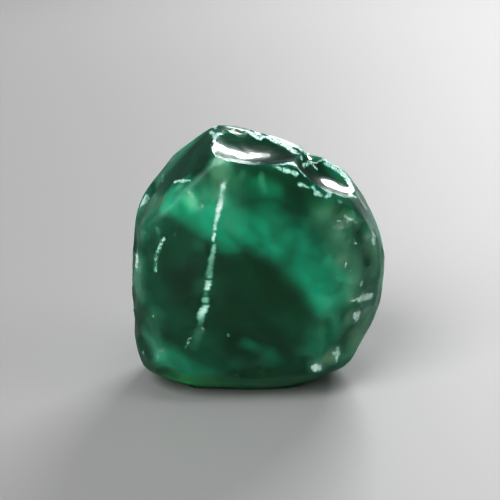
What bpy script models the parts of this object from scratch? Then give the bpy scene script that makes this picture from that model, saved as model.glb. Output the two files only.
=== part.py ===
"""A rough lump of green aventurine, broken on every side and standing on a flat break.

Blender 4.5, metres, +Z up. The origin is the middle of the base, and the broad front face looks along -Y.

The stone is seen from one inner point, its heart. Every broken face and every chip is a surface that a ray
from the heart meets, and the stone ends at the nearest of them. A net of rays carries the mesh, and rays
near an edge are turned until they run exactly along it, so that the edges stay crisp.
"""

import math

import bmesh
import bpy
import numpy as np

MM = 0.001

# Driving dimensions, in millimetres
WIDTH = 36.0  # left to right, the stone's widest
DEPTH = 25.4  # front to back
HEIGHT = 35.9
HEART_HEIGHT = 16.8  # the inner point, above the base
NET = 22  # each side of the starting icosahedron is cut into this many, for 20 * NET * NET triangles
SWELL = 0.010  # slow unevenness of every break, as a share of the distance from the heart
SWELL_WAVES = 7
SWELL_PITCH = 7.0  # the waves' mean number of radians across the heart's distance

CHIP_SEED = 7
CHIP_LIFT = 0.12  # of a chip's rim over the edge
EDGE_GAP = 0.3  # two surfaces this near each other make an edge
CLEAR = ((0, 0, 0.74), (46, 62, 0.72))  # azimuth, elevation and cosine of cones without loose chips
EDGE_PASSES = 3
HALVINGS = 12
CREASE = math.radians(22)

# Broken faces: name, azimuth from the front (90 is right), elevation, distance from the heart in mm, and
# the radius of the gentle bulge that the break left, in mm.
FACES = (
    ("front", 3, 4, 11.1, 150),
    ("front_left", -9, 6, 12.3, 150),
    ("front_right", 30, 3, 14.1, 70),
    ("right_front", 62, -2, 16.8, 50),
    ("right", 92, 1, 17.5, 45),
    ("right_upper", 84, 30, 16.4, 60),
    ("right_lower", 84, -28, 18.1, 50),
    ("left_front", -48, 2, 17.0, 60),
    ("left", -91, 0, 17.4, 60),
    ("left_back", -132, 4, 15.4, 60),
    ("left_upper", -86, 7, 16.9, 60),
    ("left_lower", -82, -20, 20.2, 60),
    ("back", 176, 3, 12.6, 90),
    ("back_right", 138, -2, 15.2, 60),
    ("shoulder", -80, 43, 16.8, 70),
    ("top", 88, 77, 16.9, 80),
    ("top_slope", 98, 64, 16.5, 60),
    ("top_right", 86, 42, 17.6, 45),
    ("top_back", 142, 47, 15.8, 60),
    ("top_back_left", -160, 44, 17.4, 60),
    ("foot_front", 4, -47, 17.0, 60),
    ("foot_left", -60, -43, 22.6, 60),
    ("foot_left_corner", -36, -62, 19.6, 60),
    ("foot_right", 52, -61, 18.4, 60),
    ("foot_right_corner", 38, -58, 19.5, 60),
    ("foot_back", 178, -42, 17.0, 60),
)

# Shell-shaped scars: name, azimuth and elevation of its middle as seen from the heart, how far its rim
# stands over the face that it cuts, azimuth and elevation that it looks to, its length, width and depth,
# and the turn of its length from level, in mm and degrees.
SCARS = (
    ("top_scar", (0, 80), 0.3, (46, 74), 20.5, 13.6, 2.2, -6),
    ("notch_scar", (78, 48), 0.0, (60, 63), 15.0, 10.6, 2.2, -12),
    ("nick", (108, 61), -0.2, (100, 72), 7.0, 3.2, 1.3, -10),
    ("crest_nick", (163, 79), 0.2, (-175, 66), 3.2, 4.4, 0.7, 0),
    ("back_scar", (150, 12), 0.4, (152, 14), 16.0, 12.0, 1.8, 30),
    ("back_left_scar", (-140, -8), 0.4, (-142, -6), 11.0, 12.0, 1.6, 70),
    ("back_top_scar", (-158, 40), 0.3, (-160, 42), 9.0, 11.0, 1.4, 20),
)

# Scallops along the left and right edges of the front, which look the way that the stone looks there:
# azimuth and elevation, length, width and depth, and the turn of the length from level.
SCALLOPS = (
    (52, 31, 6.4, 4.2, 0.6, 10),
    (62, 21, 6.0, 4.6, 0.7, -10),
    (67, 10, 7.0, 5.4, 1.0, 5),
    (68, -1, 6.6, 5.2, 0.9, -15),
    (66, -11, 7.0, 5.0, 1.0, 0),
    (64, -21, 6.4, 5.2, 0.9, 20),
    (56, -30, 6.0, 4.8, 0.9, 35),
    (44, -37, 5.6, 4.6, 0.7, 50),
    (30, -43, 5.6, 3.6, 0.5, 80),
    (-90, 33, 6.0, 4.6, 0.8, 0),
    (-83, 23, 5.6, 5.0, 0.9, 15),
    (-76, 12, 6.8, 5.2, 0.9, -10),
    (-78, 0, 5.6, 5.2, 0.9, 20),
    (-72, -11, 6.8, 5.2, 0.9, 0),
    (-73, -22, 5.6, 5.0, 0.8, -20),
    (-60, -30, 6.4, 4.6, 0.6, 10),
    (-50, -41, 6.0, 4.4, 0.8, 50),
)

# Chips knocked from the edges: how many, and how wide they are from and to, in mm
CHIPS = (30, 2.8, 4.8)


def outward(azimuth, elevation):
    """The unit vector that faces this way, counted from the front (-Y)."""
    azimuth, elevation = math.radians(azimuth), math.radians(elevation)
    level = math.cos(elevation)
    return np.array((math.sin(azimuth) * level, -math.cos(azimuth) * level, math.sin(elevation)))


class Base:
    """The flat break that the stone stands on."""

    normal = np.array((0.0, 0.0, -1.0))

    def reach(self, rays):
        down = -rays[:, 2]
        return np.where(down > 1e-6, HEART_HEIGHT / np.maximum(down, 1e-6), np.inf)


class Face:
    """A broken face that bulges a little: part of a large ball with the heart inside it."""

    def __init__(self, azimuth, elevation, distance, radius):
        self.normal = outward(azimuth, elevation)
        self.centre = self.normal * (distance - radius)
        self.radius = radius

    def reach(self, rays):
        along = rays @ self.centre
        return along + np.sqrt(along**2 - self.centre @ self.centre + self.radius**2)


class Scar:
    """A shell-shaped hollow where a flake left: the near side of an egg that lies outside the stone."""

    def __init__(self, rim, normal, length, width, depth, turn):
        side = np.cross((0.0, 0.0, 1.0), normal)
        side /= np.linalg.norm(side)
        rise = np.cross(normal, side)
        turn = math.radians(turn)
        long_way = math.cos(turn) * side + math.sin(turn) * rise
        short_way = np.cross(normal, long_way)
        radius = (width**2 / 4 + depth**2) / (2 * depth)
        self.squeeze = np.array((long_way * width / length, short_way, normal)) / radius
        self.centre = self.squeeze @ (np.asarray(rim) + normal * (radius - depth))

    def reach(self, rays):
        squeezed = rays @ self.squeeze.T
        size = (squeezed**2).sum(axis=1)
        along = squeezed @ self.centre
        inside = along**2 - size * (self.centre @ self.centre - 1)
        near = (along - np.sqrt(np.maximum(inside, 0))) / size
        return np.where((inside > 0) & (along > 0), near, np.inf)


def nearest(surfaces, rays):
    """For each ray, how far the stone reaches and which surface ends it, and how far the next one is."""
    first = np.full(len(rays), np.inf)
    second = first.copy()
    owner = np.zeros(len(rays), int)
    for index, surface in enumerate(surfaces):
        reach = surface.reach(rays)
        wins = reach < first
        second = np.where(wins, first, np.minimum(second, reach))
        first = np.where(wins, reach, first)
        owner[wins] = index
    return first, owner, second


def scar_at(surfaces, ray, lift, normal, *sizes):
    """A scar whose rim stands this much over the surface that the ray meets."""
    reach = nearest(surfaces, ray[None])[0][0]
    return Scar(ray * (reach + lift), normal, *sizes)


def lie_of(surfaces, ray):
    """The way that the stone looks round about this ray, edges smoothed over."""
    side = np.cross(ray, (0.3, 0.5, 0.8))
    side /= np.linalg.norm(side)
    turns = np.radians(np.arange(0, 360, 45))[:, None]
    ring = ray + 0.12 * (np.cos(turns) * side + np.sin(turns) * np.cross(ray, side))
    points = ring * nearest(surfaces, ring)[0][:, None]
    normal = np.cross(points, np.roll(points, -1, axis=0)).sum(axis=0)
    return normal / np.linalg.norm(normal)


def edge_chips(surfaces, count, narrowest, widest):
    """Small scars that sit on the stone's edges, where two surfaces are about as near."""
    random = np.random.default_rng(CHIP_SEED)
    chips = []
    while len(chips) < count:
        ray = random.normal(size=3)
        ray /= np.linalg.norm(ray)
        reach, owner, second = (found[0] for found in nearest(surfaces, ray[None]))
        if second - reach > EDGE_GAP or owner == 0 or any(ray @ outward(*way) > cone for *way, cone in CLEAR):
            continue
        normal = lie_of(surfaces, ray) + random.normal(scale=0.1, size=3)
        normal /= np.linalg.norm(normal)
        width = random.uniform(narrowest, widest)
        length = width * random.uniform(1.0, 1.8)
        depth = width * random.uniform(0.09, 0.15)
        chips.append(Scar(ray * (reach + CHIP_LIFT), normal, length, width, depth, random.uniform(0, 180)))
    return chips


def all_surfaces():
    faces = [Base()] + [Face(*numbers) for _, *numbers in FACES]
    scars = [
        scar_at(faces, outward(*place), lift, outward(*facing), *sizes)
        for _, place, lift, facing, *sizes in SCARS
    ]
    scallops = [
        Scar(ray * (nearest(faces, ray[None])[0][0] + CHIP_LIFT), lie_of(faces, ray), *sizes)
        for ray, sizes in ((outward(azimuth, elevation), sizes) for azimuth, elevation, *sizes in SCALLOPS)
    ]
    surfaces = faces + scars + scallops
    return surfaces + edge_chips(surfaces, *CHIPS)


def ray_net(net):
    """Unit rays through an evenly cut icosahedron, as a bmesh."""
    bm = bmesh.new()
    bmesh.ops.create_icosphere(bm, subdivisions=1, radius=1)
    bmesh.ops.subdivide_edges(bm, edges=bm.edges[:], cuts=net - 1, use_grid_fill=True)
    for vertex in bm.verts:
        vertex.co.normalize()
    return bm


def turn_to_edges(surfaces, rays, ends):
    """Turns the rays nearest to an edge of the stone until they run along it."""
    owner = nearest(surfaces, rays)[1]
    start, stop = ends[owner[ends[:, 0]] != owner[ends[:, 1]]].T
    low = np.zeros(len(start))
    high = np.ones(len(start))
    for _ in range(HALVINGS):
        middle = (low + high) / 2
        between = rays[start] * (1 - middle)[:, None] + rays[stop] * middle[:, None]
        same = nearest(surfaces, between / np.linalg.norm(between, axis=1)[:, None])[1] == owner[start]
        low = np.where(same, middle, low)
        high = np.where(same, high, middle)
    met = between / np.linalg.norm(between, axis=1)[:, None]
    moved = np.where(middle < 0.5, start, stop)
    order = np.argsort(-np.minimum(middle, 1 - middle))
    turned = rays.copy()
    turned[moved[order]] = met[order]
    return turned


def swell(rays):
    """Slow waves over the whole stone, between about -1 and 1."""
    random = np.random.default_rng(CHIP_SEED)
    waves = random.normal(scale=SWELL_PITCH, size=(SWELL_WAVES, 3))
    starts = random.uniform(0, math.tau, SWELL_WAVES)
    return np.sin(rays @ waves.T + starts).mean(axis=1)


def fit_to_size(points):
    """Centres the points on the origin and stretches them to exactly the driving dimensions."""
    low, high = points.min(axis=0), points.max(axis=0)
    middle = (low + high) / 2
    middle[2] = low[2]
    return (points - middle) * (WIDTH, DEPTH, HEIGHT) / (high - low) * MM


def stone_mesh(name, net):
    surfaces = all_surfaces()
    bm = ray_net(net)
    rays = np.array([vertex.co for vertex in bm.verts])
    ends = np.array([[vertex.index for vertex in edge.verts] for edge in bm.edges])
    for _ in range(EDGE_PASSES):
        rays = turn_to_edges(surfaces, rays, ends)
    reach, owner, _ = nearest(surfaces, rays)
    base = surfaces[0].reach(rays)
    reach = np.where(owner == 0, base, np.minimum(reach * (1 + SWELL * swell(rays)), base))
    for vertex, point in zip(bm.verts, fit_to_size(rays * reach[:, None])):
        vertex.co = point
    mesh = bpy.data.meshes.new(name)
    bm.to_mesh(mesh)
    bm.free()
    mesh.shade_smooth()
    mesh.set_sharp_from_angle(angle=CREASE)
    return mesh


def aventurine():
    material = bpy.data.materials.new("aventurine")
    material.use_nodes = True
    shader = material.node_tree.nodes["Principled BSDF"]
    shader.inputs["Base Color"].default_value = (0.02, 0.25, 0.14, 1)
    shader.inputs["Roughness"].default_value = 0.08
    shader.inputs["Metallic"].default_value = 0
    return material


def main():
    for old in list(bpy.data.objects):
        bpy.data.objects.remove(old)
    stone = bpy.data.objects.new("stone", stone_mesh("stone", NET))
    stone.data.materials.append(aventurine())
    bpy.context.scene.collection.objects.link(stone)


main()
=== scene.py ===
"""The aventurine stone as it looks up close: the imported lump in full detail, see-through, on a pale floor.

The stone is seen from one inner point, its heart, as in the part's source. Every broken face and every chip
is a surface that a ray from the heart meets, and the stone ends at the nearest of them. Lengths are in mm,
with places counted from the heart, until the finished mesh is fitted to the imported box. The material, the
floor, the lights and the camera are in metres.
"""

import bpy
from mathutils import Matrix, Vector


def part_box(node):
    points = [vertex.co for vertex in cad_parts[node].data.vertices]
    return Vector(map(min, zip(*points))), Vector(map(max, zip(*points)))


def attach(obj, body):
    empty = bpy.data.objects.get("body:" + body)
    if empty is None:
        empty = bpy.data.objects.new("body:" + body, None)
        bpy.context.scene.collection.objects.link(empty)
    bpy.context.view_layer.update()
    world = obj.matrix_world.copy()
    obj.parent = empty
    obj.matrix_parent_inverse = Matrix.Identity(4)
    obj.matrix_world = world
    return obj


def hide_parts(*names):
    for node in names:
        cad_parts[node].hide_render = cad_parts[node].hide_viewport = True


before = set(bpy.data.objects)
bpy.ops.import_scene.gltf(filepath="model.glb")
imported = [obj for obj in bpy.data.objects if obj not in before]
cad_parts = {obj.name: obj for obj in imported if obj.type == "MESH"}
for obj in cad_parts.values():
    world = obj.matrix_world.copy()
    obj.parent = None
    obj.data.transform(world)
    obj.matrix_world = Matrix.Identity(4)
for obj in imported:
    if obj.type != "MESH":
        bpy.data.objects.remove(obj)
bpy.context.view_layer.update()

import math

import bmesh
import bpy
import numpy as np
from mathutils import Vector

HEART_HEIGHT = 16.8  # of the heart over the base
NET = 96  # each side of the starting icosahedron is cut into this many, for 20 * NET * NET triangles
EDGE_PASSES = 3  # rounds of turning rays to the edges
HALVINGS = 10  # of the gap between two rays, in looking for the edge between them
CREASE = math.radians(26)  # a bend sharper than this is shaded as an edge

SWELL = 0.010  # slow unevenness of every break, as a share of the distance from the heart
SWELL_WAVES = 7
SWELL_PITCH = 7.0  # spread of the waves' pitch along each axis, in radians for each unit of a ray
SWELL_SEED = 7

WORN = 1.2  # two weathered faces are rubbed round where they lie this near each other along a ray
FRESH = 4  # so many scars, the first in their table, are fresh and glassy
DULL = 0.6  # shine of the weathered surfaces, where a fresh scar has 1
FRESH_FROM = 0.5  # a fresh scar has its full shine where the next surface lies this far behind it
RUBBED = 0.4  # share of its shine that a rubbed edge loses

# Broken faces: name, azimuth from the front (90 is right), elevation, distance from the heart and the radius
# of the gentle bulge that the break left
FACES = (
    ("front", 3, 4, 11.1, 150),
    ("front_left", -9, 6, 12.3, 150),
    ("front_right", 30, 3, 14.1, 70),
    ("right_front", 62, -2, 16.8, 50),
    ("right", 92, 1, 17.5, 45),
    ("right_upper", 84, 30, 16.4, 60),
    ("right_lower", 84, -28, 18.1, 50),
    ("left_front", -48, 2, 17.0, 60),
    ("left", -91, 0, 17.4, 60),
    ("left_back", -132, 4, 15.4, 60),
    ("left_upper", -86, 7, 16.9, 60),
    ("left_lower", -82, -20, 20.2, 60),
    ("back", 176, 3, 12.6, 90),
    ("back_right", 138, -2, 15.2, 60),
    ("shoulder", -80, 43, 16.8, 70),
    ("top", 88, 77, 16.9, 80),
    ("top_slope", 98, 64, 16.5, 60),
    ("top_right", 86, 42, 17.6, 45),
    ("top_back", 142, 47, 15.8, 60),
    ("top_back_left", -160, 44, 17.4, 60),
    ("foot_front", 4, -47, 17.0, 60),
    ("foot_left", -60, -43, 22.6, 60),
    ("foot_left_corner", -36, -62, 19.6, 60),
    ("foot_right", 52, -61, 18.4, 60),
    ("foot_right_corner", 38, -58, 19.5, 60),
    ("foot_back", 178, -42, 17.0, 60),
)

# Shell-shaped scars: name, place as azimuth and elevation, lift of the rim over the stone, the way that the
# hollow faces, length, width, depth and turn in degrees
SCARS = (
    ("top_scar", (0, 80), 0.3, (46, 74), 20.5, 13.6, 2.2, -6),
    ("notch_scar", (78, 48), 0.0, (60, 63), 15.0, 10.6, 2.2, -12),
    ("nick", (108, 61), -0.2, (100, 72), 7.0, 3.2, 1.3, -10),
    ("crest_nick", (163, 79), 0.2, (-175, 66), 3.2, 4.4, 0.7, 0),
    ("back_scar", (150, 12), 0.4, (152, 14), 16.0, 12.0, 1.8, 30),
    ("back_left_scar", (-140, -8), 0.4, (-142, -6), 11.0, 12.0, 1.6, 70),
    ("back_top_scar", (-158, 40), 0.3, (-160, 42), 9.0, 11.0, 1.4, 20),
)

# Scallops along the right-hand and left-hand edges: azimuth, elevation, length, width, depth and turn in
# degrees
SCALLOPS = (
    (52, 31, 6.4, 4.2, 0.6, 10),
    (62, 21, 6.0, 4.6, 0.7, -10),
    (67, 10, 7.0, 5.4, 1.0, 5),
    (68, -1, 6.6, 5.2, 0.9, -15),
    (66, -11, 7.0, 5.0, 1.0, 0),
    (64, -21, 6.4, 5.2, 0.9, 20),
    (56, -30, 6.0, 4.8, 0.9, 35),
    (44, -37, 5.6, 4.6, 0.7, 50),
    (30, -43, 5.6, 3.6, 0.5, 80),
    (-90, 33, 6.0, 4.6, 0.8, 0),
    (-83, 23, 5.6, 5.0, 0.9, 15),
    (-76, 12, 6.8, 5.2, 0.9, -10),
    (-78, 0, 5.6, 5.2, 0.9, 20),
    (-72, -11, 6.8, 5.2, 0.9, 0),
    (-73, -22, 5.6, 5.0, 0.8, -20),
    (-60, -30, 6.4, 4.6, 0.6, 10),
    (-50, -41, 6.0, 4.4, 0.8, 50),
)

# Loose chips on the edges: how many, and the narrowest and widest
CHIPS = (30, 2.8, 4.8)
CHIP_SEED = 7
FINE_CHIPS = (190, 0.8, 2.4)
FINE_SEED = 21
CHIP_LENGTHS = (1.0, 1.8)  # least and most, as shares of the width
CHIP_DEPTHS = (0.09, 0.15)  # least and most, as shares of the width
CHIP_SCATTER = 0.1  # of the way that a chip faces
CHIP_LIFT = 0.12  # of the rim of a chip or scallop over the stone
EDGE_GAP = 0.3  # two surfaces this near each other along a ray make an edge

# Azimuth, elevation and cosine of the cones without loose chips
CLEAR = ((0, 0, 0.74), (46, 62, 0.72))
FINE_CLEAR = ((0, 0, 0.80),)

# The fracture line down the front, as seen from the heart on a sheet that stands this far in front of it:
# place across, height, width and strength, from the top down
LINE_SHEET = 10
LINE = (
    (-3.8, 16.4, 0.8, 0.0),
    (-3.9, 15.4, 0.9, 0.10),
    (-4.0, 14.5, 0.9, 0.25),
    (-4.4, 13.5, 0.75, 0.65),
    (-4.5, 12.0, 0.8, 0.75),
    (-4.6, 10.4, 0.75, 0.85),
    (-4.9, 8.3, 0.6, 0.75),
    (-5.1, 6.6, 0.4, 0.7),
    (-5.2, 5.5, 0.5, 0.75),
    (-5.2, 4.3, 0.65, 0.6),
    (-5.4, 2.5, 0.85, 0.42),
    (-5.5, 1.2, 0.9, 0.55),
    (-5.7, -0.3, 0.7, 0.8),
    (-5.8, -1.5, 0.75, 0.68),
    (-6.0, -2.7, 0.85, 0.72),
    (-6.3, -3.7, 0.95, 0.7),
    (-6.3, -4.4, 0.8, 0.4),
    (-6.9, -5.6, 1.1, 0.2),
    (-7.9, -7.3, 0.9, 0.25),
    (-8.1, -8.2, 0.6, 0.0),
)

# Crushed places, some of them painted glints along the margins: azimuth, elevation, radius in degrees and
# strength
CRUSHED_AND_GLINTS = (
    (-140, 70, 16, 1.0),
    (150, 79, 14, 0.9),
    (110, 72, 10, 1.0),
    (82, 63, 9, 1.0),
    (32, 56, 9, 0.75),
    (102, 50, 11, 1.0),
    (104, 37, 9, 0.9),
    (-75, 72, 9, 0.7),
    (14, 62, 11, 0.5),
    (45, 42, 5, 0.6),
    (74, 36, 7, 0.7),
    (-92, 29, 8, 0.9),
    (-70, 46, 7, 0.8),
    (-65, 5, 7, 0.7),
    (-85, -9, 7, 0.6),
    (-120, 67, 6, 0.9),
    (55, 30, 6, 0.7),
    (73, 16, 7, 0.9),
    (65, -10, 6, 0.9),
    (58, -19, 6, 0.7),
    (47, -36, 6, 0.4),
)

# Milky teal cloud under the surface, partly a painted glow where light shines through the stone: radius,
# strength and the points from the heart that it runs through
CLOUDS_AND_GLOWS = (
    (3.2, 0.9, ((-9.8, -8.0, 10.8), (-8.6, -9.5, 10.4), (-6.2, -10.0, 9.4))),
    (4.6, 0.7, ((-7.0, -9.8, 9.6), (-5.0, -10.0, 9.0))),
    (4.8, 0.8, ((-6.2, -10.0, 9.4), (-1.0, -10.3, 8.0), (3.5, -10.3, 5.6))),
    (4.6, 0.7, ((3.5, -10.3, 5.6), (6.7, -10.4, 2.6), (9.4, -10.4, -1.2))),
    (4.0, 0.28, ((9.4, -10.4, -1.2), (10.1, -10.3, -5.0), (8.6, -10.9, -8.2))),
    # painted glow: light that comes through the stone, low on the left
    (3.8, 0.4, ((-14.0, -9.2, -8.6), (-10.9, -11.3, -11.2), (-7.4, -11.7, -12.6))),
    (1.8, 0.3, ((-2.0, -11.5, -7.4), (0.6, -11.4, -8.4), (2.6, -11.3, -10.2))),
    (2.6, 0.4, ((-3.0, -10.0, 13.0), (2.0, -9.8, 12.2))),
)

# Pale grey-green haze, in the same way
HAZED = (
    (1.5, 0.9, ((-4.6, -9.2, 15.4), (-4.5, -9.7, 12.6), (-4.7, -9.9, 11.0))),
    (1.3, 0.6, ((-9.8, -8.3, 12.2), (-9.0, -9.2, 11.4), (-7.6, -9.8, 10.2))),
    (3.0, 0.75, ((-13.6, -4.0, 9.4), (-12.8, -7.0, 9.2), (-14.4, -6.8, 6.0))),
    (2.2, 0.9, ((-15.4, -7.6, 1.8), (-15.2, -8.2, -1.8))),
    (0.9, 0.6, ((-7.0, -11.3, -6.0), (-7.9, -11.4, -8.4))),
    (3.4, 0.7, ((8.8, -9.6, 9.4), (11.5, -9.3, 4.6), (12.8, -8.9, -0.8))),
    (3.0, 0.5, ((12.8, -8.9, -0.8), (11.8, -9.6, -5.4))),
    (3.2, 0.9, ((15.2, -5.0, 5.0), (16.2, -4.0, -0.5), (14.6, -5.5, -6.5), (12.8, -7.6, -10.4))),
    (2.0, 0.5, ((10.6, -9.6, -9.4), (7.6, -10.9, -11.6))),
    (0.8, 0.35, ((-2.2, -9.6, 14.4), (-2.1, -9.8, 11.0))),
    (0.6, 0.45, ((0.6, -9.6, 14.4), (0.9, -9.8, 11.8))),
    (0.5, 1.0, ((-12.9, -9.0, 7.4), (-13.3, -9.4, 2.2))),
    (2.0, 1.2, ((12.2, -9.0, -2.6), (15.0, -5.8, -3.4))),
    (1.8, 1.2, ((12.4, -8.9, -5.0), (13.4, -7.9, -5.6))),
    (1.6, 0.8, ((11.0, -8.2, 8.5), (12.8, -7.3, 7.3))),
    (2.0, 1.2, ((7.8, -10.6, -11.6), (10.2, -9.3, -10.2))),
)

# White bruises and cracks, and white spots painted as glints where light catches small chips, in the same
# way
BRUISES_AND_GLINTS = (
    (0.40, 1.1, ((-10.6, -5.6, 12.2), (-10.2, -6.1, 12.5), (-9.3, -7.6, 12.9), (-8.4, -8.8, 13.2))),
    (0.50, 0.6, ((-9.0, -8.9, 12.3), (-8.1, -9.4, 11.5))),
    (0.80, 1.0, ((-13.9, -0.6, 8.9), (-13.5, -2.4, 9.4))),
    (0.50, 0.45, ((-12.6, 1.7, 11.4), (-12.4, -1.3, 11.2))),
    (0.45, 0.45, ((-11.8, 4.4, 12.5), (-11.1, 3.6, 13.2))),
    (0.40, 1.0, ((-14.8, 0.2, 7.9), (-14.7, 0.0, 8.0))),
    (0.40, 0.4, ((-14.7, -6.2, 7.5), (-14.6, -7.0, 7.1))),
    (0.35, 0.4, ((-14.4, -8.4, 6.3), (-13.9, -8.8, 6.4))),
    (0.25, 0.9, ((-6.9, -9.8, 10.5), (-6.9, -9.8, 10.2))),
    (0.30, 0.35, ((-10.2, -9.7, 7.6), (-10.4, -9.8, 6.3))),
    (0.50, 0.6, ((-11.9, -9.6, 5.8), (-12.9, -9.6, 3.5), (-13.0, -9.9, 1.6))),
    (0.60, 0.9, ((-15.6, -7.2, 1.8), (-15.5, -7.4, 1.3))),
    (0.30, 0.9, ((-15.2, -8.1, 1.1), (-15.1, -8.2, 0.9))),
    (0.55, 0.4, ((-15.2, -8.2, 0.0), (-15.2, -8.3, -1.4))),
    (0.65, 1.4, (
        (-3.7, 2.6, 17.7), (-2.7, 2.8, 17.5), (-1.7, 2.5, 17.3),
        (-0.6, 1.7, 17.0), (0.3, 1.4, 16.5),
    )),
    (0.65, 1.4, (
        (1.1, 2.3, 16.6), (2.1, 1.8, 16.3), (3.1, 1.1, 15.9),
        (4.2, 0.1, 15.5), (5.0, -1.5, 15.2),
    )),
    (0.60, 1.2, ((5.0, -1.5, 15.2), (5.8, -2.5, 14.7))),
    (0.60, 1.4, (
        (8.5, 1.9, 13.3), (9.3, 1.4, 13.0), (10.3, 1.6, 12.4),
        (11.4, 1.6, 11.7), (12.3, 0.7, 10.9),
    )),
    (0.45, 1.3, (
        (12.3, 0.7, 10.9), (12.9, -1.1, 10.1), (13.5, -1.1, 9.3),
        (13.9, -1.6, 8.6), (14.6, -0.8, 7.3),
    )),
    (0.50, 0.8, ((-6.2, 1.5, 17.6), (-5.4, -1.8, 17.5))),
    (0.40, 1.2, ((2.3, -9.1, 15.2), (3.1, -9.2, 14.9), (4.0, -9.2, 14.6), (5.0, -9.2, 14.2))),
    (0.50, 0.9, ((6.0, -3.2, 13.8), (7.0, -1.0, 13.8), (7.9, -0.8, 12.9))),
    (0.30, 1.1, ((5.2, -9.4, 13.0), (6.4, -9.4, 12.7), (7.3, -9.3, 12.4))),
    (0.34, 1.2, ((7.4, -9.4, 11.9), (8.4, -9.2, 11.4), (9.3, -9.0, 11.0))),
    (0.45, 0.8, ((11.3, -8.0, 8.3), (11.9, -7.7, 7.8), (12.8, -7.3, 7.3))),
    (0.25, 0.8, ((10.3, -8.8, 7.9), (10.8, -8.5, 7.9))),
    (0.35, 1.0, ((14.9, -5.6, 4.4), (16.1, -1.7, 3.6), (16.3, 0.5, 3.4))),
    (0.30, 0.8, ((16.1, 1.3, 4.6), (16.3, 0.0, 3.6))),
    (0.25, 0.7, ((11.4, -9.4, 2.4), (11.4, -9.4, 1.9))),
    (0.25, 0.7, ((11.9, -9.1, 1.3), (12.3, -8.9, 1.3))),
    (0.35, 0.8, ((13.7, -8.0, -0.6), (13.7, -8.0, -1.0))),
    (0.35, 0.8, ((12.3, -9.1, -2.8), (13.4, -7.9, -2.9))),
    (0.65, 1.8, ((13.3, -8.0, -3.0), (13.8, -7.4, -3.1), (15.1, -5.6, -3.5))),
    (0.80, 1.6, ((12.9, -8.4, -5.2), (13.3, -7.9, -5.6))),
    (0.50, 1.0, ((10.1, -9.3, -10.0), (10.3, -9.2, -10.2))),
    (0.85, 1.6, ((7.7, -10.6, -11.6), (7.9, -10.5, -11.8))),
    (0.25, 0.7, ((-3.7, -11.6, -6.7), (-3.6, -11.6, -6.9))),
    (0.15, 1.0, ((3.0, -11.3, -5.4), (3.0, -11.3, -5.5))),
    (0.30, 0.6, ((-15.2, -7.0, -10.8), (-15.2, -7.0, -11.4))),
    (0.35, 0.6, ((-8.8, -11.6, -7.4), (-9.3, -11.6, -8.6))),
    (0.35, 0.8, ((13.8, 0.0, 8.2), (15.0, 4.1, 6.3))),
)

# Noises: the distance between their bumps, and their seed
RIM_WIDTH = (0.55, 1)
RIM_PATCHES = (1.1, 2)
RIM_DEPTH = (0.42, 12)
LINE_JOGS = (1.3, 3)
LINE_STEPS = (1.0, 4)
LINE_BREAKS = (0.5, 5)
LINE_FADES = (0.9, 6)
LINE_TICKS = (0.22, 8)
LINE_SIDES = (0.22, 28)
LINE_DEPTH = (0.35, 13)
RINGS = (3.0, 9)
BROAD_DENTS = (5.0, 10)
SMALL_DENTS = (1.2, 11)
BRUISE_AND_GLINT_BENDS = (0.4, 26)
BRUISE_AND_GLINT_CRUMBS = (0.32, 27)
HAZE_PATCHES = (1.6, 16)
EDGE_HAZE = (2.6, 17)
FOOT_HAZE = (1.8, 61)
WISPS = (7.0, 40)
FAINT_CLOUD = (5.0, 60)
UNSEEN_HAZE = (5.0, 50)
DRIFT = (3.0, (20, 21, 22), 2.4)  # with three seeds, one for each axis, and how far it carries the cloud
SMALL_DRIFT = (1.0, (23, 24, 25), 0.5)

# The numbers that the noises are scrambled from
STRIDES = (73856093, 19349663, 83492791)
SCRAMBLE = (1274126177, 668265263)

# What the crystal is made of
QUARTZ_IOR = 1.54
ABSORBED = (0.03, 0.72, 0.52)
ABSORPTION = 350  # per metre
GREEN = (0.03, 0.62, 0.38)
# brighter teal of the cloud, partly a painted glow of light through the stone
CLOUD_AND_GLOW_GREEN = (0.02, 0.80, 0.51)
HAZE_GREEN = (0.31, 0.62, 0.42)
# white of bruises, cracks and crushed stone, and of the painted glints
WHITE_OF_BRUISES_AND_GLINTS = (0.72, 0.98, 0.88)

# How far light scatters in the cloud and in the white of bruises and painted glints, and the shares of that
# for red, green and blue
CLOUD_SCATTER = 0.006
BRUISE_AND_GLINT_SCATTER = 0.0002
SCATTER_SHARES = (0.15, 1.0, 0.75)

# How milky the cloud and the haze make the crystal, how much the wisps change that, and the most it can be,
# since even the whitest bruises and painted glints let a little light through
CLOUD_MILK = 0.62
HAZE_MILK = 0.38
WISPY_MILK = (0.5, 1.5)
MOST_MILK = 0.93

# Roughness without any shine and with full shine, what the wisps add to it, and the least on the white of
# bruises and painted glints
ROUGHEST = 0.60
SMOOTHEST = 0.13
WISP_ROUGHNESS = 0.08
BRUISE_AND_GLINT_ROUGHNESS = 0.3

# Fine noises of the material: bumps to the metre, detail and distortion
WISP_GRAIN = (420, 5, 0.8)
CRUMB_GRAIN = (4500, 4, 1.0)
SKIN_GRAIN = (1500, 4)

CRUMB_SPAN = (0.34, 0.62)  # of the crumb noise, from a gap to a crumb
CRUMB_WHITES = (0.35, 1.35)  # what the white is multiplied with, in a gap and on a crumb
EVEN_LINE = 0.85  # share by which the crumbs are evened out in the fracture line
WHITE_SPAN = (0.08, 0.9)  # from clear crystal to full white
BUMP_STRENGTH = 0.12
BUMP_HEIGHT = 0.0001
CRUMB_HEIGHT = 4.0  # of a white crumb, where the bumps of the bare skin have 1

FLOOR_REACH = 3.0
FLOOR_GREY = 0.37
FLOOR_ROUGHNESS = 0.6
STUDIO_GREY = 0.155
BOUNCES = 16  # light crosses the stone many times
BRIGHTEST_BOUNCE = 6  # bounced light is cut off here, against bright specks

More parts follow.
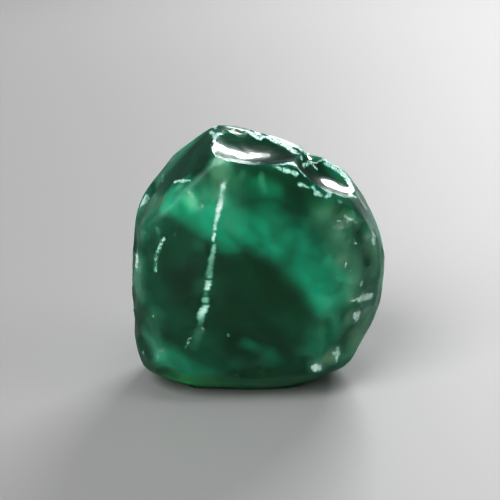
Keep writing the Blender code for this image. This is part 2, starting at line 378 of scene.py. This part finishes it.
# Lights: name, azimuth, elevation, distance, width, height and radiance
LAMPS = (
    ("key", 158, 30, 0.8, 0.36, 0.1, 30),
    ("top", 40, 75, 1.2, 0.5, 0.5, 2),
    ("fill", -35, 42, 1.2, 0.8, 0.8, 5.2),
    ("side", 75, 30, 1.2, 0.5, 0.5, 2),
)

CAMERA_AIM = (-0.00116, -0.00062, 0.0186)
CAMERA_DISTANCE = 0.1676
CAMERA_SLOPE = math.radians(18)
CAMERA_LENS = 85  # mm, on a sensor this wide
CAMERA_SENSOR = 36
CAMERA_CLIP = (0.001, 20)


def outward(azimuth, elevation):
    """The unit vector that faces this way, counted from the front (-Y)."""
    azimuth, elevation = math.radians(azimuth), math.radians(elevation)
    level = math.cos(elevation)
    return np.array((math.sin(azimuth) * level, -math.cos(azimuth) * level, math.sin(elevation)))


class Base:
    """The flat break that the stone stands on."""

    LEVEL = 1e-6  # a ray that falls no more than this never meets it

    def reach(self, rays):
        down = -rays[:, 2]
        return np.where(down > self.LEVEL, HEART_HEIGHT / np.maximum(down, self.LEVEL), np.inf)


class Face:
    """A broken face that bulges a little: part of a large ball with the heart inside it."""

    def __init__(self, azimuth, elevation, distance, radius):
        self.centre = outward(azimuth, elevation) * (distance - radius)
        self.radius = radius

    def reach(self, rays):
        along = rays @ self.centre
        return along + np.sqrt(along**2 - self.centre @ self.centre + self.radius**2)


class Scar:
    """A shell-shaped hollow where a flake left: the near side of an egg that lies outside the stone."""

    STRUCK_AT = 0.45  # share of the length from the middle to where the flake was struck off

    def __init__(self, rim, normal, length, width, depth, turn):
        side = np.cross((0.0, 0.0, 1.0), normal)
        side /= np.linalg.norm(side)
        rise = np.cross(normal, side)
        turn = math.radians(turn)
        long_way = math.cos(turn) * side + math.sin(turn) * rise
        short_way = np.cross(normal, long_way)
        radius = (width**2 / 4 + depth**2) / (2 * depth)
        self.squeeze = np.array((long_way * width / length, short_way, normal)) / radius
        self.centre = self.squeeze @ (np.asarray(rim) + normal * (radius - depth))
        self.strike = np.asarray(rim) + long_way * length * self.STRUCK_AT
        self.size = length

    def reach(self, rays):
        squeezed = rays @ self.squeeze.T
        size = (squeezed**2).sum(axis=1)
        along = squeezed @ self.centre
        inside = along**2 - size * (self.centre @ self.centre - 1)
        near = (along - np.sqrt(np.maximum(inside, 0))) / size
        return np.where((inside > 0) & (along > 0), near, np.inf)


def nearest(surfaces, rays):
    """For each ray, how far the stone reaches and which surface ends it, and how far the next one is."""
    first = np.full(len(rays), np.inf)
    second = first.copy()
    owner = np.zeros(len(rays), int)
    for index, surface in enumerate(surfaces):
        reach = surface.reach(rays)
        wins = reach < first
        second = np.where(wins, first, np.minimum(second, reach))
        first = np.where(wins, reach, first)
        owner[wins] = index
    return first, owner, second


def rounded(surfaces, rays, reach):
    """How far the stone reaches with the edges between weathered faces rubbed down, and how rubbed it is."""
    faces = [surface for surface in surfaces if isinstance(surface, Face)]
    first, _, second = nearest(faces, rays)
    closeness = np.clip(1 - (second - first) / WORN, 0, 1)
    rubbed = first - WORN * closeness**2 / 4
    return np.minimum(reach, rubbed), closeness * (rubbed <= reach)


def lie_of(surfaces, ray):
    """The way that the stone faces round about this ray, edges smoothed over."""
    step, spread = 45, 0.12  # degrees between the rays of a ring round it, and the ring's radius
    side = np.cross(ray, (0.3, 0.5, 0.8))  # any way but the ray's own will do
    side /= np.linalg.norm(side)
    turns = np.radians(np.arange(0, 360, step))[:, None]
    ring = ray + spread * (np.cos(turns) * side + np.sin(turns) * np.cross(ray, side))
    points = ring * nearest(surfaces, ring)[0][:, None]
    normal = np.cross(points, np.roll(points, -1, axis=0)).sum(axis=0)
    return normal / np.linalg.norm(normal)


def edge_chips(surfaces, seed, clear, count, narrowest, widest):
    """Small scars that sit on the stone's edges, where two surfaces are about as near."""
    random = np.random.default_rng(seed)
    chips = []
    while len(chips) < count:
        ray = random.normal(size=3)
        ray /= np.linalg.norm(ray)
        reach, owner, second = (found[0] for found in nearest(surfaces, ray[None]))
        in_clear = any(ray @ outward(*way) > cone for *way, cone in clear)
        if second - reach > EDGE_GAP or owner == 0 or in_clear:
            continue
        normal = lie_of(surfaces, ray) + random.normal(scale=CHIP_SCATTER, size=3)
        normal /= np.linalg.norm(normal)
        width = random.uniform(narrowest, widest)
        length = width * random.uniform(*CHIP_LENGTHS)
        depth = width * random.uniform(*CHIP_DEPTHS)
        turn = random.uniform(0, 180)
        chips.append(Scar(ray * (reach + CHIP_LIFT), normal, length, width, depth, turn))
    return chips


def all_surfaces():
    """Base, faces, scars, scallops and chips, in this order."""
    faces = [Base()] + [Face(*numbers) for _, *numbers in FACES]

    def on_stone(ray, lift):
        return ray * (nearest(faces, ray[None])[0][0] + lift)

    scars = [
        Scar(on_stone(outward(*place), lift), outward(*facing), *sizes)
        for _, place, lift, facing, *sizes in SCARS
    ]
    scallops = [
        Scar(on_stone(ray, CHIP_LIFT), lie_of(faces, ray), *sizes)
        for ray, sizes in ((outward(azimuth, elevation), sizes) for azimuth, elevation, *sizes in SCALLOPS)
    ]
    surfaces = faces + scars + scallops
    surfaces = surfaces + edge_chips(surfaces, CHIP_SEED, CLEAR, *CHIPS)
    return surfaces + edge_chips(surfaces, FINE_SEED, FINE_CLEAR, *FINE_CHIPS)


def smooth(low, high, value):
    """From 0 at low to 1 at high, with a soft start and end."""
    share = np.clip((value - low) / (high - low), 0, 1)
    return share * share * (3 - 2 * share)


def noise(points, pitch, seed):
    """Smooth random heights from 0 to 1, with bumps about this far apart."""
    grid = points / pitch + 31.7 * seed + 500  # each seed reads at another place, and above 0
    cell = np.floor(grid).astype(np.int64)
    ease = grid - cell
    ease = ease * ease * (3 - 2 * ease)
    strides = np.array(STRIDES[: grid.shape[1]])
    total = np.zeros(len(grid))
    for corner in np.ndindex(*(2,) * grid.shape[1]):
        number = (cell + corner) @ strides
        number = (number ^ (number >> 13)) * SCRAMBLE[0] & 0x7FFFFFFF
        number = (number ^ (number >> 11)) * SCRAMBLE[1] & 0x7FFFFFFF
        total += np.where(corner, ease, 1 - ease).prod(axis=1) * (number >> 7 & 0xFFFF) / 0xFFFF
    return total


def veils(points, pitch, seed):
    """Drawn-out wisps that run down to the right, from 0 to 1."""
    bend = 0.6  # share of the pitch by which the wisps are bent
    octaves = (1.0, 0.5, 0.25, 0.125)  # strength and pitch of each finer noise, as shares of the first
    drawn = points @ np.array(((0.45, 0.0, 0.9), (0.0, 0.8, 0.0), (-0.3, 0.0, 0.9)))
    bends = [noise(points, pitch, seed + step) - 0.5 for step in (1, 2, 3)]
    bent = drawn + bend * pitch * np.column_stack(bends)
    total = sum(share * noise(bent, pitch * share, seed + 4) for share in octaves)
    return smooth(0.30, 0.72, total / sum(octaves))


def spots(rays, table):
    """The strongest of these soft round places at each ray."""
    strength = np.zeros(len(rays))
    for azimuth, elevation, radius, most in table:
        away = np.degrees(np.arccos(np.clip(rays @ outward(azimuth, elevation), -1, 1)))
        strength = np.maximum(strength, most * smooth(radius, 0, away))
    return strength


def streaks(points, table, core=0.1):
    """The strongest of these streaks at each point, at full strength out to this share of its radius."""
    fade = 1.15  # a streak is gone at this share of its radius
    strength = np.zeros(len(points))
    for radius, most, path in table:
        for start, stop in zip(np.array(path)[:-1], np.array(path)[1:]):
            way = stop - start
            share = np.clip((points - start) @ way / (way @ way), 0, 1)
            away = np.linalg.norm(points - start - share[:, None] * way, axis=1)
            strength = np.maximum(strength, most * smooth(fade * radius, core * radius, away))
    return strength


def ahead(rays):
    """How far each ray runs to the front, kept above 0."""
    return np.maximum(-rays[:, 1], 1e-3)


def from_line(rays):
    """Distance aside from the fracture line, height along it, its width, and how much of it is there."""
    forward = ahead(rays)
    across, height = rays[:, 0] / forward * LINE_SHEET, rays[:, 2] / forward * LINE_SHEET
    line_across, line_height, line_width, line_strength = np.array(LINE)[::-1].T
    step, sway = 0.9, 0.2  # height of a straight run, and how far the line strays sideways
    jog = (noise(height[:, None], *LINE_JOGS) - 0.5) * sway
    jog = jog + (noise(np.floor(height[:, None] / step), *LINE_STEPS) - 0.5) * sway
    aside = across - np.interp(height, line_height, line_across) - jog
    width = np.interp(height, line_height, line_width)
    in_front = rays[:, 1] < -0.3  # the sheet has only the stone's front
    return aside, height, width, np.interp(height, line_height, line_strength) * in_front


def ray_net():
    """Unit rays through an evenly cut icosahedron, drawn together along the fracture line, as a bmesh."""
    bm = bmesh.new()
    bmesh.ops.create_icosphere(bm, subdivisions=1, radius=1)
    bmesh.ops.subdivide_edges(bm, edges=bm.edges[:], cuts=NET - 1, use_grid_fill=True)
    rays = np.array([vertex.co for vertex in bm.verts])
    rays /= np.linalg.norm(rays, axis=1)[:, None]
    aside, _, _, there = from_line(rays)
    pull, pull_reach = 0.62, 2.2  # share of the way to the line, and how far from it the pull is felt
    pulled = pull * aside * np.exp(-((aside / pull_reach) ** 2)) * there
    rays[:, 0] -= pulled * ahead(rays) / LINE_SHEET
    rays /= np.linalg.norm(rays, axis=1)[:, None]
    return bm, rays


def turn_to_edges(surfaces, rays, ends):
    """Turns the rays nearest to an edge of the stone until they run along it."""
    owner = nearest(surfaces, rays)[1]
    start, stop = ends[owner[ends[:, 0]] != owner[ends[:, 1]]].T
    low = np.zeros(len(start))
    high = np.ones(len(start))
    for _ in range(HALVINGS):
        middle = (low + high) / 2
        between = rays[start] * (1 - middle)[:, None] + rays[stop] * middle[:, None]
        same = nearest(surfaces, between / np.linalg.norm(between, axis=1)[:, None])[1] == owner[start]
        low = np.where(same, middle, low)
        high = np.where(same, high, middle)
    met = between / np.linalg.norm(between, axis=1)[:, None]
    moved = np.where(middle < 0.5, start, stop)
    order = np.argsort(-np.minimum(middle, 1 - middle))
    turned = rays.copy()
    turned[moved[order]] = met[order]
    return turned


def swell(rays):
    """Slow waves over the whole stone, between -1 and 1."""
    random = np.random.default_rng(SWELL_SEED)
    waves = random.normal(scale=SWELL_PITCH, size=(SWELL_WAVES, 3))
    starts = random.uniform(0, math.tau, SWELL_WAVES)
    return np.sin(rays @ waves.T + starts).mean(axis=1)


def ripples(surfaces, points, owner):
    """How deep the rings lie that spread from where each flake was struck off."""
    least_pitch, pitch_share, depth_share = 0.5, 0.05, 0.00025  # the shares are of a scar's length
    bend = 2  # radians by which noise shifts the rings
    begin = 0.2  # the rings grow with the distance from the strike, as if it lay this share further off
    depth = np.zeros(len(points))
    for index, surface in enumerate(surfaces):
        mine = owner == index
        if isinstance(surface, Scar) and mine.any():
            away = np.linalg.norm(points[mine] - surface.strike, axis=1)
            pitch = least_pitch + pitch_share * surface.size
            ring = np.sin(math.tau * away / pitch + bend * noise(points[mine], *RINGS))
            fade = smooth(0, surface.size, away + begin * surface.size)
            depth[mine] = depth_share * surface.size * ring * fade
    return depth


def dents(points):
    """How deep the fine unevenness of every break goes."""
    mean, broad, small = 0.03, 0.10, 0.03
    depth = mean + broad * (noise(points, *BROAD_DENTS) - 0.5)
    return depth + small * (noise(points, *SMALL_DENTS) - 0.5)


def crushed_and_glinting_rims(points, gap, strength, scarred):
    """How white the edges are, partly crushed stone and partly painted glints, more so on scars and at the
    crushed places, and how deep the crushed stone goes.
    """
    narrowest, uneven, wider = 0.08, 0.2, 0.4  # a rim's width, and what noise and a crushed place add to it
    on_scar = 0.25  # what a scar adds to the strength of a crushed place
    by_noise, by_blow = 0.45, 0.62  # what decides where a rim is crushed
    shallowest, deeper = 0.02, 0.26  # depth of the crushed stone, and what noise adds to it
    width = narrowest + uneven * noise(points, *RIM_WIDTH) + wider * strength
    edge = np.exp(-((gap / width) ** 2))
    struck = np.minimum(strength + on_scar * scarred, 1)
    patches = smooth(0.40, 0.70, by_noise * noise(points, *RIM_PATCHES) + by_blow * struck)
    return edge * patches, shallowest + deeper * noise(points, *RIM_DEPTH)


def fracture(rays):
    """How strong the fracture line is at each ray, and how deep it goes there."""
    aside, height, width, there = from_line(rays)
    along = height[:, None]

    # The line itself: weaker in places, ragged at its sides and fading out from a full core
    core, stray = 0.15, 0.35  # shares of the line's width: the full core, and how far its sides stray
    broken = 0.6 + 0.4 * smooth(0.12, 0.22, noise(along, *LINE_BREAKS))
    broken = broken * (0.75 + 0.4 * noise(along, *LINE_FADES))
    uneven = noise(np.column_stack((along, aside / 3)), *LINE_SIDES) - 0.5
    ragged = np.abs(aside + stray * width * uneven)
    groove = smooth(width, core * width, ragged) * there * broken

    # Short level ticks across it
    full, end, tick = 0.6, 0.9, 0.5  # how far out they go, as shares of the line's width, and their strength
    ticks = smooth(0.72, 0.82, noise(along, *LINE_TICKS))
    ticks = ticks * smooth(end * width, full * width, np.abs(aside)) * there * tick

    shallowest, deeper = 0.05, 0.16  # depth of the line, and what noise adds to it
    depth = shallowest + deeper * noise(np.column_stack((along, aside / 2)), *LINE_DEPTH)
    return np.maximum(groove, ticks), depth


def bruises_and_glints(points):
    """How white the separate bruises, cracks and painted glints are."""
    bend, core = 0.25, 0.05  # how far they stray, and the share of their radius that is fully white
    bent = points + bend * (noise(points, *BRUISE_AND_GLINT_BENDS) - 0.5)[:, None]
    crumbs = 0.75 + 0.4 * smooth(0.25, 0.65, noise(points, *BRUISE_AND_GLINT_CRUMBS))
    return streaks(bent, BRUISES_AND_GLINTS, core) * crumbs


def drifting(points, pitch, seeds, reach):
    """How far and which way each point of the cloud has drifted."""
    return np.column_stack([noise(points, pitch, seed) - 0.5 for seed in seeds]) * reach


def milkiness(points, gap):
    """The teal cloud, partly a painted glow of light through the stone, and the grey-green haze: those of
    the photo, and more on the sides that it hides.
    """
    foot_top, foot_full = -12.5, -15.0  # heights between which the haze of the foot comes in
    edge_reach = 0.7  # how soon the haze along the edges thins out
    drift = drifting(points, *DRIFT)
    drift += drifting(points, *SMALL_DRIFT)
    unseen = smooth(0, 5, points[:, 1] + 0.5 * np.abs(points[:, 0]) - 4)  # 1 on the back and the far sides
    wisps = veils(points, *WISPS)
    # the cloud is partly a painted glow of light shining through the stone
    cloud_and_glow = streaks(points + drift, CLOUDS_AND_GLOWS) * (0.55 + 0.6 * wisps)
    cloud_and_glow = np.maximum(cloud_and_glow, 0.07 + unseen * 0.5 * wisps + 0.10 * veils(points, *FAINT_CLOUD))

    haze = streaks(points + 0.6 * drift, HAZED) * (0.4 + 0.9 * noise(points, *HAZE_PATCHES))
    at_edges = 0.35 * np.exp(-gap / edge_reach) * smooth(0.40, 0.75, noise(points, *EDGE_HAZE))
    at_foot = 0.7 * noise(points, *FOOT_HAZE) * smooth(foot_top, foot_full, points[:, 2])
    haze = np.maximum(haze, at_edges)
    haze = np.maximum(haze, unseen * 0.4 * veils(points, *UNSEEN_HAZE))
    return cloud_and_glow, np.maximum(haze, at_foot)


def relief(surfaces, rays):
    """How far the stone reaches at each ray, and its looks there.

    The looks are three columns of cloud, which is partly a painted glow, haze and white, which is partly
    crushed stone and cracks and partly painted glints, then the shine, then 1 where the white is the
    fracture line's.
    """
    reach, owner, second = nearest(surfaces, rays)
    base = surfaces[0].reach(rays)
    points = rays * reach[:, None]
    gap = second - reach
    strength = spots(rays, CRUSHED_AND_GLINTS)
    scarred = np.array([isinstance(surface, Scar) for surface in surfaces])[owner]
    # white along the rims: crushed stone, and painted glints
    crush_and_glint, crushed_depth = crushed_and_glinting_rims(points, gap, strength, scarred)
    line, line_depth = fracture(rays)
    # white bruises and cracks, and the painted glints
    marks_and_glints = bruises_and_glints(points)

    inward = dents(points)
    inward += ripples(surfaces, points, owner)
    inward += crush_and_glint * crushed_depth
    inward += line * line_depth
    reach, worn = rounded(surfaces, rays, reach)
    reach = reach * (1 + SWELL * swell(rays)) - inward
    reach = np.where(owner == 0, base, np.minimum(reach, base))

    cloud_and_glow, haze = milkiness(points, gap)
    looks = np.column_stack((cloud_and_glow, haze, np.maximum(np.maximum(crush_and_glint, line), marks_and_glints)))
    fresh = (owner > len(FACES)) & (owner <= len(FACES) + FRESH)
    shine = DULL + (1 - DULL) * fresh * smooth(0, FRESH_FROM, gap)
    seam = smooth(0, 0.1, line - np.maximum(crush_and_glint, marks_and_glints))  # where the line outdoes the other whites
    return reach, np.clip(looks, 0, 1), shine * (1 - RUBBED * worn), seam


def stone_object(material):
    """The stone's mesh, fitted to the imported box, with its looks kept at each vertex."""
    surfaces = all_surfaces()
    bm, rays = ray_net()
    ends = np.array([[vertex.index for vertex in edge.verts] for edge in bm.edges])
    for _ in range(EDGE_PASSES):
        rays = turn_to_edges(surfaces, rays, ends)
    reach, looks, gloss, seam = relief(surfaces, rays)
    points = rays * reach[:, None]
    low, high = points.min(axis=0), points.max(axis=0)
    box_low, box_high = (np.array(corner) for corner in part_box("stone"))
    points = box_low + (points - low) / (high - low) * (box_high - box_low)
    for vertex, point in zip(bm.verts, points):
        vertex.co = point
    mesh = bpy.data.meshes.new("aventurine_stone")
    bm.to_mesh(mesh)
    bm.free()
    mesh.attributes.new("looks", "FLOAT_VECTOR", "POINT").data.foreach_set("vector", looks.ravel())
    mesh.attributes.new("gloss", "FLOAT", "POINT").data.foreach_set("value", gloss)
    mesh.attributes.new("seam", "FLOAT", "POINT").data.foreach_set("value", seam)
    mesh.shade_smooth()
    mesh.set_sharp_from_angle(angle=CREASE)
    mesh.materials.append(material)
    stone = bpy.data.objects.new("aventurine_stone", mesh)
    bpy.context.scene.collection.objects.link(stone)
    return stone


class Nodes:
    """Short ways to add and join shader nodes."""

    MIX_SHARE, MIX_BELOW, MIX_ABOVE, MIXED = 0, 6, 7, 2  # sockets of a mix node that blends colours

    def __init__(self, material):
        material.use_nodes = True
        self.tree = material.node_tree
        self.shader = self.tree.nodes["Principled BSDF"]

    def join(self, value, socket):
        if isinstance(value, bpy.types.NodeSocket):
            self.tree.links.new(value, socket)
        elif isinstance(value, tuple):
            socket.default_value = (*value, 1)
        else:
            socket.default_value = value

    def maths(self, operation, first, second):
        node = self.tree.nodes.new("ShaderNodeMath")
        node.operation = operation
        self.join(first, node.inputs[0])
        self.join(second, node.inputs[1])
        return node.outputs[0]

    def between(self, share, low, high):
        """Low where the share is 0 and high where it is 1."""
        node = self.tree.nodes.new("ShaderNodeMapRange")
        self.join(share, node.inputs["Value"])
        node.inputs["To Min"].default_value = low
        node.inputs["To Max"].default_value = high
        return node.outputs[0]

    def span(self, value, low, high):
        """From 0 at low to 1 at high, with a soft start and end."""
        node = self.tree.nodes.new("ShaderNodeMapRange")
        node.interpolation_type = "SMOOTHSTEP"
        self.join(value, node.inputs["Value"])
        node.inputs["From Min"].default_value = low
        node.inputs["From Max"].default_value = high
        return node.outputs[0]

    def blend(self, share, below, above):
        node = self.tree.nodes.new("ShaderNodeMix")
        node.data_type = "RGBA"
        self.join(share, node.inputs[self.MIX_SHARE])
        self.join(below, node.inputs[self.MIX_BELOW])
        self.join(above, node.inputs[self.MIX_ABOVE])
        return node.outputs[self.MIXED]

    def attribute(self, name, output):
        node = self.tree.nodes.new("ShaderNodeAttribute")
        node.attribute_name = name
        return node.outputs[output]

    def grain(self, scale, detail, distortion=0.0):
        """Fine noise through the solid."""
        where = self.tree.nodes.new("ShaderNodeTexCoord")
        node = self.tree.nodes.new("ShaderNodeTexNoise")
        node.inputs["Scale"].default_value = scale
        node.inputs["Detail"].default_value = detail
        node.inputs["Distortion"].default_value = distortion
        self.join(where.outputs["Object"], node.inputs["Vector"])
        return node.outputs["Fac"]


def aventurine():
    """Clear green crystal, with cloud and its painted glow, haze, and white bruises and painted glints where
    the mesh has them.
    """
    material = bpy.data.materials.new("aventurine")
    nodes = Nodes(material)
    shader = nodes.shader
    shader.inputs["IOR"].default_value = QUARTZ_IOR
    shader.inputs["Subsurface Radius"].default_value = SCATTER_SHARES
    shader.inputs["Subsurface Weight"].default_value = 1.0
    looks = nodes.tree.nodes.new("ShaderNodeSeparateXYZ")
    nodes.join(nodes.attribute("looks", "Vector"), looks.inputs[0])
    cloud_and_glow, haze, crush_and_glint = looks.outputs
    gloss = nodes.attribute("gloss", "Fac")
    wisps = nodes.grain(*WISP_GRAIN)

    # The white is crumbly along the rims and smoother in the fracture line
    crumbs = nodes.span(nodes.grain(*CRUMB_GRAIN), *CRUMB_SPAN)
    seam = nodes.attribute("seam", "Fac")
    crumbly = nodes.between(crumbs, *CRUMB_WHITES)
    uneven = nodes.maths("MULTIPLY", crumbly, nodes.between(seam, 1.0, 1.0 - EVEN_LINE))
    uneven = nodes.maths("ADD", uneven, nodes.between(seam, 0.0, EVEN_LINE))
    # the white of crushed rims, bruises and the fracture line, with the painted glints
    white = nodes.span(nodes.maths("MULTIPLY", crush_and_glint, uneven), *WHITE_SPAN)

    # brighter teal of the cloud: partly painted glow
    colour = nodes.blend(cloud_and_glow, GREEN, CLOUD_AND_GLOW_GREEN)
    colour = nodes.blend(haze, colour, HAZE_GREEN)
    # painted glints: white spots where light catches small chips
    colour = nodes.blend(white, colour, WHITE_OF_BRUISES_AND_GLINTS)
    nodes.join(colour, shader.inputs["Base Color"])
    nodes.join(nodes.between(white, CLOUD_SCATTER, BRUISE_AND_GLINT_SCATTER), shader.inputs["Subsurface Scale"])

    milk = nodes.maths("MULTIPLY", cloud_and_glow, CLOUD_MILK)
    milk = nodes.maths("ADD", milk, nodes.maths("MULTIPLY", haze, HAZE_MILK))
    milk = nodes.maths("MULTIPLY", milk, nodes.between(wisps, *WISPY_MILK))
    milk = nodes.maths("MAXIMUM", milk, nodes.maths("MULTIPLY", white, MOST_MILK))
    milk = nodes.maths("MINIMUM", milk, MOST_MILK)
    nodes.join(nodes.between(milk, 1.0, 0.0), shader.inputs["Transmission Weight"])

    rough = nodes.between(gloss, ROUGHEST, SMOOTHEST)
    rough = nodes.maths("ADD", rough, nodes.maths("MULTIPLY", wisps, WISP_ROUGHNESS))
    rough = nodes.maths("MAXIMUM", rough, nodes.maths("MULTIPLY", white, BRUISE_AND_GLINT_ROUGHNESS))
    nodes.join(rough, shader.inputs["Roughness"])

    bump = nodes.tree.nodes.new("ShaderNodeBump")
    bump.inputs["Strength"].default_value = BUMP_STRENGTH
    bump.inputs["Distance"].default_value = BUMP_HEIGHT
    height = nodes.maths("MULTIPLY", crumbs, nodes.maths("MULTIPLY", white, CRUMB_HEIGHT))
    height = nodes.maths("ADD", nodes.grain(*SKIN_GRAIN), height)
    nodes.join(height, bump.inputs["Height"])
    nodes.join(bump.outputs[0], shader.inputs["Normal"])

    absorption = nodes.tree.nodes.new("ShaderNodeVolumeAbsorption")
    absorption.inputs["Color"].default_value = (*ABSORBED, 1)
    absorption.inputs["Density"].default_value = ABSORPTION
    nodes.join(absorption.outputs[0], nodes.tree.nodes["Material Output"].inputs["Volume"])
    return material


def floor():
    """The plain pale floor that the stone stands on."""
    mesh = bpy.data.meshes.new("floor")
    corners = [(-1, -1), (1, -1), (1, 1), (-1, 1)]
    mesh.from_pydata([(x * FLOOR_REACH, y * FLOOR_REACH, 0) for x, y in corners], [], [(0, 1, 2, 3)])
    material = bpy.data.materials.new("floor")
    material.use_nodes = True
    shader = material.node_tree.nodes["Principled BSDF"]
    shader.inputs["Base Color"].default_value = (FLOOR_GREY, FLOOR_GREY, FLOOR_GREY, 1)
    shader.inputs["Roughness"].default_value = FLOOR_ROUGHNESS
    mesh.materials.append(material)
    plane = bpy.data.objects.new("floor", mesh)
    bpy.context.scene.collection.objects.link(plane)


def lamp(name, azimuth, elevation, distance, width, height, radiance):
    """A soft oblong light that shines at the stone's foot from this way."""
    light = bpy.data.lights.new(name, "AREA")
    light.shape = "RECTANGLE"
    light.size, light.size_y = width, height
    light.energy = radiance * math.pi * width * height
    thing = bpy.data.objects.new(name, light)
    bpy.context.scene.collection.objects.link(thing)
    way = Vector(outward(azimuth, elevation))
    thing.location = way * distance
    thing.rotation_mode = "QUATERNION"
    thing.rotation_quaternion = way.to_track_quat("Z", "Y")


def studio():
    """The lights, the pale surroundings and the settings of the picture."""
    for numbers in LAMPS:
        lamp(*numbers)
    scene = bpy.context.scene
    world = bpy.data.worlds.new("studio")
    world.use_nodes = True
    background = world.node_tree.nodes["Background"]
    background.inputs["Color"].default_value = (STUDIO_GREY, STUDIO_GREY, STUDIO_GREY, 1)
    scene.world = world
    scene.view_settings.view_transform = "Standard"
    scene.view_settings.look = "High Contrast"
    scene.cycles.max_bounces = BOUNCES
    scene.cycles.transmission_bounces = BOUNCES
    scene.cycles.sample_clamp_indirect = BRIGHTEST_BOUNCE
    scene.cycles.use_denoising = True


def camera():
    """The photo's view, from a little above the front."""
    lens = bpy.data.cameras.new("camera")
    lens.lens = CAMERA_LENS
    lens.sensor_width = CAMERA_SENSOR
    lens.clip_start, lens.clip_end = CAMERA_CLIP
    thing = bpy.data.objects.new("camera", lens)
    bpy.context.scene.collection.objects.link(thing)
    back = Vector((0, -math.cos(CAMERA_SLOPE), math.sin(CAMERA_SLOPE)))
    thing.location = Vector(CAMERA_AIM) + back * CAMERA_DISTANCE
    thing.rotation_mode = "QUATERNION"
    thing.rotation_quaternion = back.to_track_quat("Z", "Y")
    bpy.context.scene.camera = thing


stone = stone_object(aventurine())
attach(stone, "root")
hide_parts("stone")
floor()
studio()
camera()
